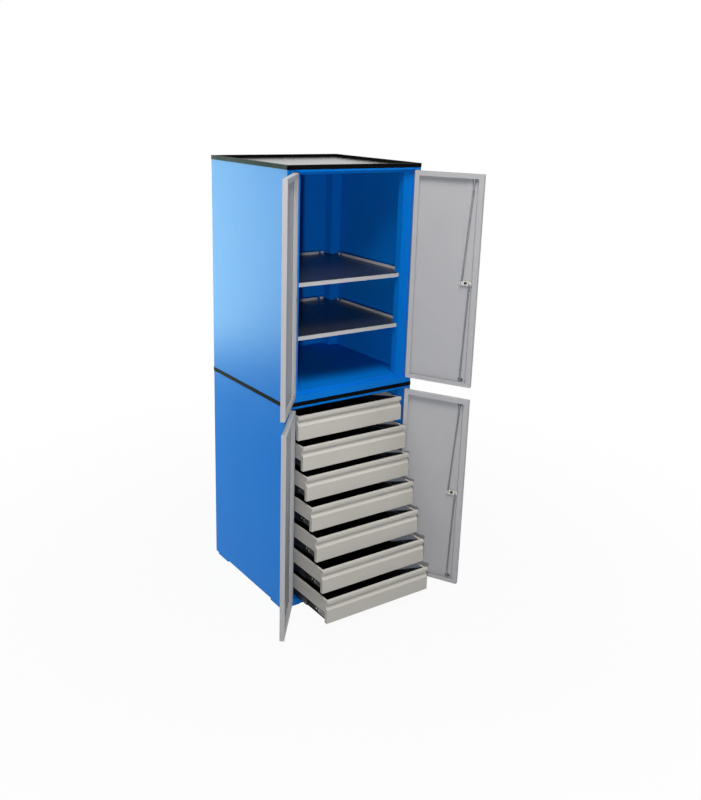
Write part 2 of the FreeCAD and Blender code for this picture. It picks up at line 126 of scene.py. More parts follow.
@dataclass(frozen=True)
class Finish:
    """What every finish has: a name, two colours that it drifts between, and its gloss."""

    name: str
    colour: str
    drift: str
    roughness: float = 0.4
    specular: float = 0.5

    def material(self) -> bpy.types.Material:
        """Material of this finish, made on first use."""
        return bpy.data.materials.get(self.name) or self.build()

    def start(self) -> tuple[bpy.types.Material, bpy.types.NodeTree, bpy.types.Node, bpy.types.NodeSocket]:
        """Begin the material.

        Returns:
            The material, its node tree, its main shader and the object coordinates.
        """
        made = bpy.data.materials.new(self.name)
        made.use_nodes = True
        tree = made.node_tree
        skin = tree.nodes["Principled BSDF"]
        skin.inputs["Roughness"].default_value = self.roughness
        skin.inputs["Specular IOR Level"].default_value = self.specular
        return made, tree, skin, node(tree, "ShaderNodeTexCoord").outputs["Object"]

    def blend(self, tree: bpy.types.NodeTree, skin: bpy.types.Node, share: bpy.types.NodeSocket) -> None:
        """Let the base colour drift from the one colour to the other.

        Args:
            tree: node tree of the material.
            skin: its main shader.
            share: how far towards the second colour, from nought to one.
        """
        tint = node(tree, "ShaderNodeMix", {"data_type": "RGBA"}, {
            "Factor": share, "A": srgb(self.colour), "B": srgb(self.drift)})
        tree.links.new(tint.outputs["Result"], skin.inputs["Base Color"])

    def dull(self, tree: bpy.types.NodeTree, skin: bpy.types.Node, share: bpy.types.NodeSocket,
             span: tuple[float, float], change: tuple[float, float]) -> None:
        """Let the roughness vary with a pattern.

        Args:
            tree: node tree of the material.
            skin: its main shader.
            share: the pattern.
            span: values of the pattern between which the roughness varies.
            change: what is added to the roughness at both ends of the span.
        """
        low, high = change
        gloss = node(tree, "ShaderNodeMapRange", {}, {
            "Value": share, "From Min": span[0], "From Max": span[1],
            "To Min": self.roughness + low, "To Max": self.roughness + high})
        tree.links.new(gloss.outputs["Result"], skin.inputs["Roughness"])

    def build(self) -> bpy.types.Material:
        """Make the material; each finish has its own."""
        raise NotImplementedError


@dataclass(frozen=True)
class PowderCoat(Finish):
    """Polyester powder coat baked on sheet steel: a satin skin with orange peel over slow sheet waves."""

    spread: float = 0.012
    span: tuple[float, float] = (0.3, 0.7)
    cloud_mm: float = 170.0
    peel_mm: float = 7.0
    peel_height_mm: float = 0.03
    wave_mm: float = 320.0
    wave_height_mm: float = 0.03

    def build(self) -> bpy.types.Material:
        """Make the material.

        Returns:
            Paint whose colour and gloss drift a little, with a fine pebbled surface.
        """
        made, tree, skin, place = self.start()
        cloud = node(tree, "ShaderNodeTexNoise", {}, {
            "Vector": place, "Scale": per_metre(self.cloud_mm), "Detail": 3.0, "Roughness": 0.55})
        self.blend(tree, skin, cloud.outputs["Fac"])
        self.dull(tree, skin, cloud.outputs["Fac"], self.span, (-self.spread, self.spread))
        wave = node(tree, "ShaderNodeTexNoise", {}, {
            "Vector": place, "Scale": per_metre(self.wave_mm), "Detail": 0.0})
        slow = node(tree, "ShaderNodeBump", {}, {
            "Height": wave.outputs["Fac"], "Strength": 1.0, "Distance": self.wave_height_mm * MM})
        # Real orange peel is about 2 mm across; it is drawn coarser so that it shows at this size
        peel = node(tree, "ShaderNodeTexNoise", {}, {
            "Vector": place, "Scale": per_metre(self.peel_mm), "Detail": 1.0})
        fine = node(tree, "ShaderNodeBump", {}, {
            "Height": peel.outputs["Fac"], "Strength": 0.3, "Distance": self.peel_height_mm * MM,
            "Normal": slow.outputs["Normal"]})
        tree.links.new(fine.outputs["Normal"], skin.inputs["Normal"])
        return made


@dataclass(frozen=True)
class ZincPlate(Finish):
    """Zinc plated strip steel: a grey metal sheen with bluish and straw-coloured patches."""

    patch_mm: float = 22.0
    draw_mm: float = 1.6
    draw_squeeze: float = 0.06
    span: tuple[float, float] = (0.3, 0.7)
    change: tuple[float, float] = (-0.06, 0.1)

    def build(self) -> bpy.types.Material:
        """Make the material.

        Returns:
            Metal with a patchy tint and drawing lines from front to back.
        """
        made, tree, skin, place = self.start()
        skin.inputs["Metallic"].default_value = 1.0
        patch = node(tree, "ShaderNodeTexNoise", {}, {
            "Vector": place, "Scale": per_metre(self.patch_mm), "Detail": 2.0})
        self.blend(tree, skin, patch.outputs["Fac"])
        # Drawing lines are finer than 0.5 mm; they are drawn coarser so that they show
        drawn = node(tree, "ShaderNodeMapping", {}, {
            "Vector": place, "Scale": (1.0, self.draw_squeeze, 1.0)})
        lines = node(tree, "ShaderNodeTexNoise", {}, {
            "Vector": drawn.outputs["Vector"], "Scale": per_metre(self.draw_mm), "Detail": 2.0})
        self.dull(tree, skin, lines.outputs["Fac"], self.span, self.change)
        return made


@dataclass(frozen=True)
class GlossEdging(Finish):
    """Extruded black PVC edging: a deep gloss dulled in places by rubbing."""

    mark_mm: float = 40.0
    span: tuple[float, float] = (0.35, 0.75)
    change: tuple[float, float] = (0.0, 0.12)

    def build(self) -> bpy.types.Material:
        """Make the material.

        Returns:
            Black plastic with patchy gloss.
        """
        made, tree, skin, place = self.start()
        marks = node(tree, "ShaderNodeTexNoise", {}, {
            "Vector": place, "Scale": per_metre(self.mark_mm), "Detail": 4.0, "Roughness": 0.6})
        self.blend(tree, skin, marks.outputs["Fac"])
        self.dull(tree, skin, marks.outputs["Fac"], self.span, self.change)
        return made


@dataclass(frozen=True)
class RibbedRubber(Finish):
    """Calendered nitrile mat: fine ribs from front to back and a dusty bloom."""

    rib_mm: float = 9.0
    rib_height_mm: float = 0.4
    bloom_mm: float = 120.0

    def build(self) -> bpy.types.Material:
        """Make the material.

        Returns:
            Rubber with ribs as bumps and a patchy bloom.
        """
        made, tree, skin, place = self.start()
        dust = node(tree, "ShaderNodeTexNoise", {}, {
            "Vector": place, "Scale": per_metre(self.bloom_mm), "Detail": 5.0})
        self.blend(tree, skin, dust.outputs["Fac"])
        # Ribs of such mats are about 3 mm apart and drawn coarser so that they show;
        # a wave texture of scale s repeats every pi / (10 * s) metres
        ribs = node(tree, "ShaderNodeTexWave", {"bands_direction": "X"}, {
            "Vector": place, "Scale": math.pi / 10 * per_metre(self.rib_mm)})
        bump = node(tree, "ShaderNodeBump", {}, {
            "Height": ribs.outputs["Fac"], "Strength": 0.5, "Distance": self.rib_height_mm * MM})
        tree.links.new(bump.outputs["Normal"], skin.inputs["Normal"])
        return made


@dataclass(frozen=True)
class MouldedNylon(Finish):
    """Glass-filled nylon moulding: matt black with a spark-eroded grain."""

    grain_mm: float = 3.0
    grain_height_mm: float = 0.15

    def build(self) -> bpy.types.Material:
        """Make the material.

        Returns:
            Dark plastic with a pebbled grain.
        """
        made, tree, skin, place = self.start()
        # The grain of the mould is about 0.5 mm; it is drawn coarser so that it shows
        grain = node(tree, "ShaderNodeTexVoronoi", {}, {"Vector": place, "Scale": per_metre(self.grain_mm)})
        self.blend(tree, skin, grain.outputs["Distance"])
        bump = node(tree, "ShaderNodeBump", {}, {
            "Height": grain.outputs["Distance"], "Strength": 0.4, "Distance": self.grain_height_mm * MM})
        tree.links.new(bump.outputs["Normal"], skin.inputs["Normal"])
        return made


# Baked powder on the carcass: an even, strong blue that turns pale where it mirrors light at a slant
BLUE_COAT = PowderCoat("blue_powder_coat", "#046CC6", "#0571CE", roughness=0.31, specular=0.07)
# The same coat in a light grey on doors and shelves, nearly matt; its cool tint is painted light, for the
# cooler light on the doors
DOOR_COOL_LIT_COAT = PowderCoat("door_grey_cool_lit_coat", "#ABACB1", "#B1B2B6", roughness=0.42, specular=0.15)
# The doors' grey on the drawers, tinted warmer as painted light for the warmer light on their fronts; as matt
# as the doors
DRAWER_WARM_LIT_COAT = PowderCoat("drawer_grey_powder_coat", "#B7B5B0", "#BDBBB6", roughness=0.42, specular=0.15)
# Plated strip of hinges and brackets: grey metal with a cloudy sheen
ZINC = ZincPlate("zinc_plated_steel", "#B4B7BA", "#C2C0B8", roughness=0.5)
# Zinc drawn paler on cams and slot rims: painted highlight, the brightest metal on the cabinet
HIGHLIGHT_ZINC = ZincPlate("zinc_painted_highlight", "#DDE0DA", "#E8E6DC", roughness=0.4)
# Slide rails: zinc steel drawn dark, a painted shade and painted dark reflection of the cabinet's inside,
# against which the bright rims stand out
SLIDE_SHADE_STEEL = ZincPlate("slide_steel_painted_shade", "#4E5157", "#5C5D60", roughness=0.42)
# Drawn rods: mid grey with a long soft glint
ROD_STEEL = ZincPlate("drawn_rod_steel", "#777B81", "#868A8D", roughness=0.42)
# Bluish grey of the strips on the drawers' inner walls, matt: painted shade, the drawers' grey as it looks in
# cool shade
SLATE_SHADE_COAT = PowderCoat("slate_painted_shade", "#A0A8B6", "#A8B0BE", roughness=0.5, specular=0.1)
# Extruded rim: almost black, with a faint sheen
EDGING = GlossEdging("black_pvc_edging", "#050506", "#0B0B0C", roughness=0.35, specular=0.02)
# Smooth grey mat on top: shiny enough to mirror the rim behind it
TOP_RUBBER = RibbedRubber("grey_ribbed_mat", "#55565A", "#62615F", roughness=0.2, specular=0.5,
                          rib_height_mm=0.05)
# Dark mats on the shelves: deep slate with a slight gloss, a painted shade on the shelf tops
SHELF_SHADE_RUBBER = RibbedRubber("shelf_shade_ribbed_mat", "#24252A", "#2C2D31", roughness=0.3, specular=0.4,
                            rib_height_mm=0.1)
# Ribbed mats in the drawers: matt black rubber, drawn near-black so that it also paints the deep shade under
# the drawer above
DRAWER_RUBBER_AND_SHADE = RibbedRubber("black_mat_and_painted_shade", "#060606", "#0C0C0D", roughness=0.7, specular=0.15)
# Levers, plugs and catches: dull black with a fine grain
NYLON = MouldedNylon("black_nylon", "#0C0C0D", "#1B1B1C", roughness=0.5)

SLOT_FINISH = {
    Slot.BLUE: BLUE_COAT,
    Slot.GREY: DOOR_COOL_LIT_COAT,
    Slot.EDGING: EDGING,
    Slot.MAT: TOP_RUBBER,
    Slot.ZINC: ZINC,
    Slot.HANDLE: NYLON,
}


def paint(frame: dict, names: list[str], finish: Finish) -> None:
    """Put a finish on CAD nodes.

    Args:
        names: nodes that wear it.
        finish: the finish.
    """
    for name in names:
        for holder in frame["nodes"][name].material_slots:
            holder.material = finish.material()
        log.info("%s wears %s", name, finish.name)


def linked(verts: list[bmesh.types.BMVert], kind: str) -> list:
    """What meets at some corners, each item once and in the same order on every run.

    Args:
        verts: the corners.
        kind: link_edges or link_faces.

    Returns:
        The edges or faces.
    """
    return list(dict.fromkeys(item for vert in verts for item in getattr(vert, kind)))


def add_box(form: bmesh.types.BMesh, low: Vector, high: Vector, round_mm: float, segments: int = 2,
            place: Matrix = Matrix.Identity(4)) -> None:
    """Add a box with eased edges.

    Args:
        form: mesh that gets the box.
        low: one corner, in mm.
        high: the opposite corner, in mm.
        round_mm: radius of its edges.
        segments: faces around each edge.
        place: where the corners are measured from.
    """
    stretch = Matrix.Translation((low + high) / 2) @ Matrix.Diagonal((*(high - low), 1.0))
    made = bmesh.ops.create_cube(form, size=1.0, matrix=place @ stretch)
    bmesh.ops.bevel(form, geom=linked(made["verts"], "link_edges"), offset=round_mm, segments=segments,
                    profile=0.5, affect="EDGES", material=-1)


def add_dome(form: bmesh.types.BMesh, radius: float, height: float, place: Matrix) -> None:
    """Add a domed head that stands on its place's xy plane.

    Args:
        form: mesh that gets the dome.
        radius: radius of its foot, in mm.
        height: how far it stands up, in mm.
        place: where its foot is.
    """
    ball = bmesh.ops.create_uvsphere(form, u_segments=14, v_segments=10, radius=radius)
    verts = ball["verts"]
    geom = [*verts, *linked(verts, "link_edges"), *linked(verts, "link_faces")]
    cut = bmesh.ops.bisect_plane(form, geom=geom, dist=1e-4, plane_co=(0, 0, 0), plane_no=(0, 0, -1),
                                 clear_outer=True)
    rim = [e for e in cut["geom_cut"] if isinstance(e, bmesh.types.BMEdge)]
    bmesh.ops.holes_fill(form, edges=rim, sides=0)
    kept = {v for v in verts if v.is_valid} | {v for e in rim for v in e.verts}
    flatten = Matrix.Diagonal((1.0, 1.0, height / radius, 1.0))
    bmesh.ops.transform(form, matrix=place @ flatten, verts=list(kept))


@dataclass(frozen=True)
class Ring:
    """Flat ring in mm, round or drawn out to a long slot whose ends' middles lie a stretch apart."""

    radius: float
    wall: float
    height: float
    stretch: float = 0.0
    segments: int = 28

    def add(self, form: bmesh.types.BMesh, place: Matrix) -> None:
        """Add the ring, standing on its place's xy plane and drawn out along x.

        Args:
            form: mesh that gets the ring.
            place: where its foot is.
        """
        disc = bmesh.ops.create_circle(form, cap_ends=True, radius=self.radius, segments=self.segments)
        for side in (-1, 1):
            half = [v for v in disc["verts"] if v.co.x * side > ON_AXIS_MM]
            bmesh.ops.translate(form, vec=(side * self.stretch / 2, 0, 0), verts=half)
        cap = disc["verts"][0].link_faces[0]
        inner = bmesh.ops.inset_region(form, faces=[cap], thickness=self.wall, use_boundary=True,
                                       use_even_offset=True)
        bmesh.ops.delete(form, geom=[cap], context="FACES_ONLY")
        up = bmesh.ops.extrude_face_region(form, geom=inner["faces"])
        lifted = [v for v in up["geom"] if isinstance(v, bmesh.types.BMVert)]
        bmesh.ops.translate(form, vec=(0, 0, self.height), verts=lifted)
        walls = {v for face in inner["faces"] for v in face.verts} | set(lifted)
        bmesh.ops.transform(form, matrix=place, verts=list(walls))


def add_prism(form: bmesh.types.BMesh, sides: int, radius: float, height: float, round_mm: float,
              place: Matrix) -> None:
    """Add a disc or nut with eased rims, standing on its place's xy plane.

    Args:
        form: mesh that gets it.
        sides: number of its flats.
        radius: radius over its corners, in mm.
        height: how far it stands up, in mm.
        round_mm: radius of its rims.
        place: where its foot is.
    """
    made = bmesh.ops.create_cone(form, cap_ends=True, segments=sides, radius1=radius, radius2=radius,
                                 depth=height, matrix=place @ Matrix.Translation((0, 0, height / 2)))
    edges = linked(made["verts"], "link_edges")
    rims = [edge for edge in edges if any(len(face.verts) == sides for face in edge.link_faces)]
    bmesh.ops.bevel(form, geom=rims, offset=round_mm, segments=2, profile=0.5, affect="EDGES", material=-1)


@dataclass(frozen=True)
class Head:
    """Fastener head in mm: a disc or nut and a dome, whose foot is lifted off the disc's foot."""

    sides: int
    radius: float
    height: float
    round_mm: float
    dome_radius: float
    dome_height: float
    dome_lift: float = 0.0

    def add(self, form: bmesh.types.BMesh, place: Matrix) -> None:
        """Add the head, standing on its place's xy plane.

        Args:
            form: mesh that gets it.
            place: where its foot is.
        """
        add_prism(form, self.sides, self.radius, self.height, self.round_mm, place)
        lifted = place @ Matrix.Translation((0.0, 0.0, self.dome_lift))
        add_dome(form, self.dome_radius, self.dome_height, lifted)


def add_ribbed_sheet(form: bmesh.types.BMesh, half: tuple[float, float], count: int, thick: float, rib: float,
                     place: Matrix) -> None:
    """Add a sheet with ribs along its y, its plain face on its place's xy plane.

    Args:
        form: mesh that gets the sheet.
        half: half its width across the ribs and half its length along them, in mm.
        count: strips over its width, every second one a rib.
        thick: thickness below the plane, in mm.
        rib: how far the ribs stand up, in mm.
        place: where its middle is.
    """
    grid = bmesh.ops.create_grid(form, x_segments=count, y_segments=1, size=1.0,
                                 matrix=Matrix.Diagonal((*half, 1.0, 1.0)))
    strips = linked(grid["verts"], "link_faces")
    order = sorted(strips, key=lambda face: face.calc_center_median().x)
    shell = bmesh.ops.solidify(form, geom=order, thickness=thick)
    raised = bmesh.ops.extrude_discrete_faces(form, faces=order[::2])["faces"]
    tops = list({vert for face in raised for vert in face.verts})
    bmesh.ops.translate(form, vec=(0, 0, rib), verts=tops)
    under = [item for item in shell["geom"] if isinstance(item, bmesh.types.BMVert)]
    bmesh.ops.transform(form, matrix=place, verts=list(set(tops + under + grid["verts"])))


def settle(form: bmesh.types.BMesh, name: str) -> bpy.types.Mesh:
    """Turn a form into a mesh that is numbered the same on every run.

    Some operators number what they make by its place in memory, so corners and faces are sorted here.

    Args:
        form: the finished form, which is used up.
        name: name of the mesh.

    Returns:
        The mesh.
    """
    corners = sorted(form.verts, key=lambda vert: vert.co[:])
    rank = {vert: i for i, vert in enumerate(corners)}
    loops = [[rank[vert] for vert in face.verts] for face in form.faces]
    starts = [loop.index(min(loop)) for loop in loops]
    faces = sorted(loop[start:] + loop[:start] for loop, start in zip(loops, starts))
    mesh = bpy.data.meshes.new(name)
    mesh.from_pydata([vert.co for vert in corners], [], faces)
    form.free()
    return mesh


def publish(name: str, form: bmesh.types.BMesh, finish: Finish, body: str) -> bpy.types.Object:
    """Turn a finished form in mm into a piece of the cabinet.

    Args:
        name: name of the piece.
        form: its mesh, which is used up.
        finish: what it wears.
        body: body that it moves with.

    Returns:
        The piece.
    """
    bmesh.ops.recalc_face_normals(form, faces=form.faces)
    bmesh.ops.scale(form, vec=(MM, MM, MM), verts=form.verts)
    mesh = settle(form, name)
    mesh.shade_smooth()
    mesh.set_sharp_from_angle(angle=math.radians(SMOOTH_BELOW_DEG))
    mesh.materials.append(finish.material())
    piece = bpy.data.objects.new(name, mesh)
    bpy.context.scene.collection.objects.link(piece)
    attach(piece, body)
    log.info("%s rides %s, %d faces", name, body, len(mesh.polygons))
    return piece


class Tier(Enum):
    """Upper or lower of two: the stacked modules, and the shelves in the upper module."""

    UPPER = "upper"
    LOWER = "lower"


@dataclass
class Carcass:
    """Painted shell, edging, mat, posts, shelves and feet of both modules, with the rivets of the backs."""

    frame: dict
    rivet_radius: float = 3.4
    rivet_height: float = 1.5
    rivet_inset: float = 12.0
    rivet_rows: int = 7
    rivet_columns: int = 5
    # Half width, front and rear of the mat's three stretches
    mat_rows: tuple[tuple[float, float, float], ...] = (
        (264.0, -300.0, -259.0), (303.0, -259.0, 244.0), (264.0, 244.0, 287.0))
    mat_thick: float = 1.2
    mat_rib: float = 0.3
    mat_strips: int = 43
    lip_up: float = 14.0

    def build(self) -> None:
        """Paint every node by its slot, rivet the backs and lay dark mats of painted shade on the shelves."""
        for row in self.frame["record"]["subparts"]:
            paint(self.frame, [row["node"]], SLOT_FINISH[Slot(row["material_slot"])])
        for tier in Tier:
            self.back_rivets(tier)
            self.shelf_mat(tier)

    def shelf_mat(self, shelf: Tier) -> bpy.types.Object:
        """Dark mat on a shelf, narrow between the door stops and the rear posts; its deep slate paints the
        shade on the shelf top.

        Args:
            shelf: which shelf.

        Returns:
            The mat.
        """
        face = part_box("shelf_" + shelf.value)[1][2] / MM - self.lip_up
        form = bmesh.new()
        for half, front, rear in self.mat_rows:
            place = Matrix.Translation((0.0, (front + rear) / 2, face + self.mat_thick))
            reach = (half, (rear - front) / 2)
            add_ribbed_sheet(form, reach, self.mat_strips, self.mat_thick, self.mat_rib, place)
        return publish("shelf_mat_" + shelf.value, form, SHELF_SHADE_RUBBER, "cabinet")

    def back_rivets(self, module: Tier) -> bpy.types.Object:
        """Rivets around the edge of a module's back.

        Args:
            module: which module.

        Returns:
            The rivets, as one piece.
        """
        low, high = (Vector(corner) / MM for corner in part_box(module.value + "_back"))
        inset = self.rivet_inset
        x0, x1, z0, z1 = low.x + inset, high.x - inset, low.z + inset, high.z - inset
        spots = []
        for i in range(self.rivet_rows):
            z = z0 + (z1 - z0) * i / (self.rivet_rows - 1)
            spots += [(x0, z), (x1, z)]
        for i in range(1, self.rivet_columns - 1):
            x = x0 + (x1 - x0) * i / (self.rivet_columns - 1)
            spots += [(x, z0), (x, z1)]
        form = bmesh.new()
        for x, z in spots:
            place = Matrix.Translation((x, high.y, z)) @ Matrix.Rotation(-math.pi / 2, 4, "X")
            add_dome(form, self.rivet_radius, self.rivet_height, place)
        return publish(module.value + "_back_rivets", form, BLUE_COAT, "cabinet")


@dataclass
class DoorPair:
    """Fittings of a module's two doors, laid out on the shut doors and swung open with them."""

    frame: dict
    module: Tier
    left_rest_deg: float
    right_rest_deg: float = 117.5
    hinge_x: float = 318.0
    hinge_y: float = -334.0
    front_y: float = -330.5
    door_t: float = 20.0
    lock_x: float = 56.0
    cam_arm: float = 18.0
    cam_top: float = 13.45
    eye_top: float = 16.25
    lever_out: float = 22.4
    plug_x: float = 306.0
    plug_below: float = 43.0
    plug_head: Head = Head(16, 4.4, 0.8, 0.3, 3.4, 1.8)
    nut: Head = Head(6, 7.4, 3.4, 0.6, 3.4, 1.6, dome_lift=3.4)
    rivet: Head = Head(20, 5.2, 0.6, 0.2, 4.2, 1.9)
    plate: Ring = Ring(22.0, 5.6, 2.0)
    core_sides: int = 24
    core_radius: float = 7.4
    core_height: float = 0.6
    core_round: float = 0.2
    core_rim: Ring = Ring(7.8, 1.4, 1.3)
    bar_low: tuple[float, float, float] = (-3.2, -0.6, 0.25)
    bar_high: tuple[float, float, float] = (3.2, 0.6, 0.95)

    def build(self) -> None:
        """Dress both doors and the lock, and make their fittings."""
        paint(self.frame, [self.named("door_left"), self.named("door_right")], DOOR_COOL_LIT_COAT)
        # The cam wears paler zinc: a painted highlight
        paint(self.frame, [self.named("lock_cam")], HIGHLIGHT_ZINC)
        rods = ("rod_top", "rod_bottom", "rod_guides")
        paint(self.frame, [self.named(tail) for tail in rods], ROD_STEEL)
        self.plug()
        self.escutcheon()
        self.spindle_nut()
        self.lock_core()
        self.pivot_head(1, "top")
        self.pivot_head(-1, "bottom")

    def named(self, tail: str) -> str:
        """Full name of something in this module."""
        return self.module.value + "_" + tail

    def middle_z(self) -> float:
        """Height of the doors' middle, in mm."""
        low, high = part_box(self.named("door_right"))
        return (low[2] + high[2]) / 2 / MM

    def swing(self, side: int) -> Matrix:
        """Turn of a shut door about its hinge to where it rests.

        Args:
            side: 1 for the right door, -1 for the left.

        Returns:
            Matrix in mm.
        """
        angle = self.right_rest_deg if side > 0 else -self.left_rest_deg
        hinge = Matrix.Translation((side * self.hinge_x, self.hinge_y, 0.0))
        return hinge @ Matrix.Rotation(math.radians(angle), 4, "Z") @ hinge.inverted()

    def inward(self, side: int, x: float, depth: float, z: float) -> Matrix:
        """Place on a door whose z axis points into the cabinet when the door is shut.

        Args:
            side: 1 for the right door, -1 for the left.
            x: distance from the cabinet's middle with the door shut, in mm.
            depth: distance behind the door's outer face, in mm.
            z: height, in mm.

        Returns:
            Matrix in mm.
        """
        spot = Matrix.Translation((side * x, self.front_y + depth, z))
        return self.swing(side) @ spot @ Matrix.Rotation(-math.pi / 2, 4, "X")

    def outward(self, x: float, depth: float, z: float) -> Matrix:
        """Place on the right door whose z axis points out of the cabinet; the same arguments in mm."""
        return self.inward(1, x, depth, z) @ Matrix.Rotation(math.pi, 4, "X")

    def plug(self) -> bpy.types.Object:
        """Small black plug in the hinge-side hem of the left door.

        Returns:
            The plug.
        """
        form = bmesh.new()
        self.plug_head.add(form, self.inward(-1, self.plug_x, self.door_t, self.middle_z() - self.plug_below))
        return publish(self.named("door_plug"), form, NYLON, self.named("door_left"))

    def escutcheon(self) -> bpy.types.Object:
        """Ring plate around the lever's boss on the outside of the right door.

        Returns:
            The plate.
        """
        form = bmesh.new()
        self.plate.add(form, self.outward(self.lock_x, 0.0, self.middle_z()))
        return publish(self.named("escutcheon"), form, NYLON, self.named("door_right"))

    def spindle_nut(self) -> bpy.types.Object:
        """Hexagon nut and stud end that hold the cam on its spindle.

        Returns:
            The nut.
        """
        form = bmesh.new()
        self.nut.add(form, self.inward(1, self.lock_x, self.cam_top, self.middle_z()))
        return publish(self.named("spindle_nut"), form, NYLON, self.named("lock"))

    def lock_core(self) -> bpy.types.Object:
        """Round lock core with a raised rim and a key bar in the lever's outer face.

        Returns:
            The core.
        """
        form = bmesh.new()
        place = self.outward(self.lock_x, -self.lever_out, self.middle_z())
        add_prism(form, self.core_sides, self.core_radius, self.core_height, self.core_round, place)
        self.core_rim.add(form, place)
        add_box(form, Vector(self.bar_low), Vector(self.bar_high), self.core_round, 1, place)
        return publish(self.named("lock_core"), form, ZINC, self.named("lock"))

    def pivot_head(self, way: int, end: str) -> bpy.types.Object:
        """Riveted head on the eye of a lock rod.

        Args:
            way: 1 for the rod that goes up, -1 for the one down.
            end: name of the rod's end.

        Returns:
            The head.
        """
        form = bmesh.new()
        self.rivet.add(form, self.inward(1, self.lock_x + way * self.cam_arm, self.eye_top, self.middle_z()))
        body = self.named("rod_" + end)
        return publish(body + "_pivot", form, ZINC, body)


@dataclass
class DrawerBank:
    """Mats and wall strips of the drawers and the small parts of their slides.

    Lengths are in mm, from a drawer's front and lower edge.
    """

    frame: dict
    count: int = 7
    mat_half: float = 264.0
    mat_front: float = 16.0
    mat_rear: float = 586.0
    mat_floor: float = 5.3
    mat_thick: float = 1.6
    rib_height: float = 0.9
    rib_count: int = 59
    # Distance from the middle, lower and upper edge of the upright wall strips
    liner_rows: tuple[tuple[float, float, float], ...] = ((277.6, 44.0, 96.0), (266.1, 8.6, 40.4))
    liner_thick: float = 0.6
    slot_height: float = 0.4
    ledge_x: float = 271.8
    ledge_half: float = 5.0
    ledge_z: float = 43.3
    ledge_strips: int = 3
    slot_count: int = 47
    web_x: float = 269.0
    channel_z: float = 21.5
    rim: Ring = Ring(7.0, 2.4, 2.6, stretch=44.0)
    rim_along: float = 56.0
    screw: Head = Head(18, 4.6, 1.0, 0.3, 3.4, 1.2, dome_lift=1.0)
    screws_along: tuple[float, ...] = (102.0, 240.0, 420.0)
    # Front, rear, lower and upper edge of the black blocks, and how far they stand out
    catch_blocks: tuple[tuple[float, float, float, float, float], ...] = (
        (36.0, 76.0, 17.6, 25.4, 0.9), (116.0, 214.0, 18.0, 25.0, 3.2), (21.0, 25.0, 10.5, 32.5, 4.0))
    catch_round: float = 0.4
    knob_along: float = 124.0
    knob_out: float = 3.2
    knob_radius: float = 5.2
    knob_height: float = 2.2

    def build(self) -> None:
        """Dress and fit out every drawer."""
        for number in range(1, self.count + 1):
            # The drawers wear the doors' grey tinted warmer: painted light
            paint(self.frame, [self.body(number)], DRAWER_WARM_LIT_COAT)
            # The slide members' dark metal is painted shade and painted dark reflection
            paint(self.frame, ["drawer_slide_%d" % number, "middle_slide_%d" % number], SLIDE_SHADE_STEEL)
            self.mat(number)
            self.liner(number)
            self.slide_bead(number)
            self.slide_catch(number)

    def body(self, number: int) -> str:
        """Name of a drawer, which its node and its body share."""
        return "drawer_%d" % number

    def corner(self, number: int) -> Vector:
        """Middle of a drawer's lower front edge, in mm."""
        low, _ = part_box(self.body(number))
        return Vector((0.0, low[1], low[2])) / MM

    def stretch(self) -> tuple[float, float]:
        """Middle and half length of what lines a drawer, from its front, in mm."""
        return (self.mat_front + self.mat_rear) / 2, (self.mat_rear - self.mat_front) / 2

    def mat(self, number: int) -> bpy.types.Object:
        """Black mat with ribs from front to back, whose near-black also paints the deep shade under the
        drawer above.

        Args:
            number: which drawer, counted from the top.

        Returns:
            The mat.
        """
        middle, half_length = self.stretch()
        spot = Vector((0.0, middle, self.mat_floor + self.mat_thick))
        place = Matrix.Translation(self.corner(number) + spot)
        form = bmesh.new()
        half = (self.mat_half, half_length)
        add_ribbed_sheet(form, half, self.rib_count, self.mat_thick, self.rib_height, place)
        return publish("drawer_mat_%d" % number, form, DRAWER_RUBBER_AND_SHADE, self.body(number))

    def liner(self, number: int) -> bpy.types.Object:
        """Slotted strips on the stepped inner walls, which take dividers; their bluish grey paints the cool
        shade on the drawers' grey walls.

        Args:
            number: which drawer.

        Returns:
            The six strips.
        """
        corner = self.corner(number)
        middle, half_length = self.stretch()
        form = bmesh.new()
        for side in (-1, 1):
            turn = Matrix.Rotation(-side * math.pi / 2, 4, "Z") @ Matrix.Rotation(math.pi / 2, 4, "X")
            for x, low, high in self.liner_rows:
                spot = Vector((side * (x - self.liner_thick), middle, (low + high) / 2))
                place = Matrix.Translation(corner + spot) @ turn
                half = (half_length, (high - low) / 2)
                add_ribbed_sheet(form, half, self.slot_count, self.liner_thick, self.slot_height, place)
            spot = Vector((side * self.ledge_x, middle, self.ledge_z + self.liner_thick))
            place = Matrix.Translation(corner + spot)
            half = (self.ledge_half, half_length)
            add_ribbed_sheet(form, half, self.ledge_strips, self.liner_thick, self.slot_height, place)
        return publish("drawer_liner_%d" % number, form, SLATE_SHADE_COAT, self.body(number))

    def slide_place(self, number: int, side: int, along: float, out: float = 0.0) -> Matrix:
        """Place on the outside of a drawer's slide member: x along it to the front, z out of its web.

        Args:
            number: which drawer.
            side: 1 for the right slide, -1 for the left.
            along: distance behind the drawer's front, in mm.
            out: distance from the web, in mm.

        Returns:
            Matrix in mm.
        """
        spot = self.corner(number) + Vector((side * (self.web_x + out), along, self.channel_z))
        turn = Matrix.Rotation(side * math.pi / 2, 4, "Y") @ Matrix.Rotation(math.pi / 2, 4, "Z")
        return Matrix.Translation(spot) @ turn

    def slide_bead(self, number: int) -> bpy.types.Object:
        """Pressed long slot rims and screws near the front of both slide members, in paler zinc: a painted
        highlight.

        Args:
            number: which drawer.

        Returns:
            The bright parts of both slides.
        """
        form = bmesh.new()
        for side in (-1, 1):
            self.rim.add(form, self.slide_place(number, side, self.rim_along))
            for along in self.screws_along:
                self.screw.add(form, self.slide_place(number, side, along))
        return publish("slide_bead_%d" % number, form, HIGHLIGHT_ZINC, self.body(number))

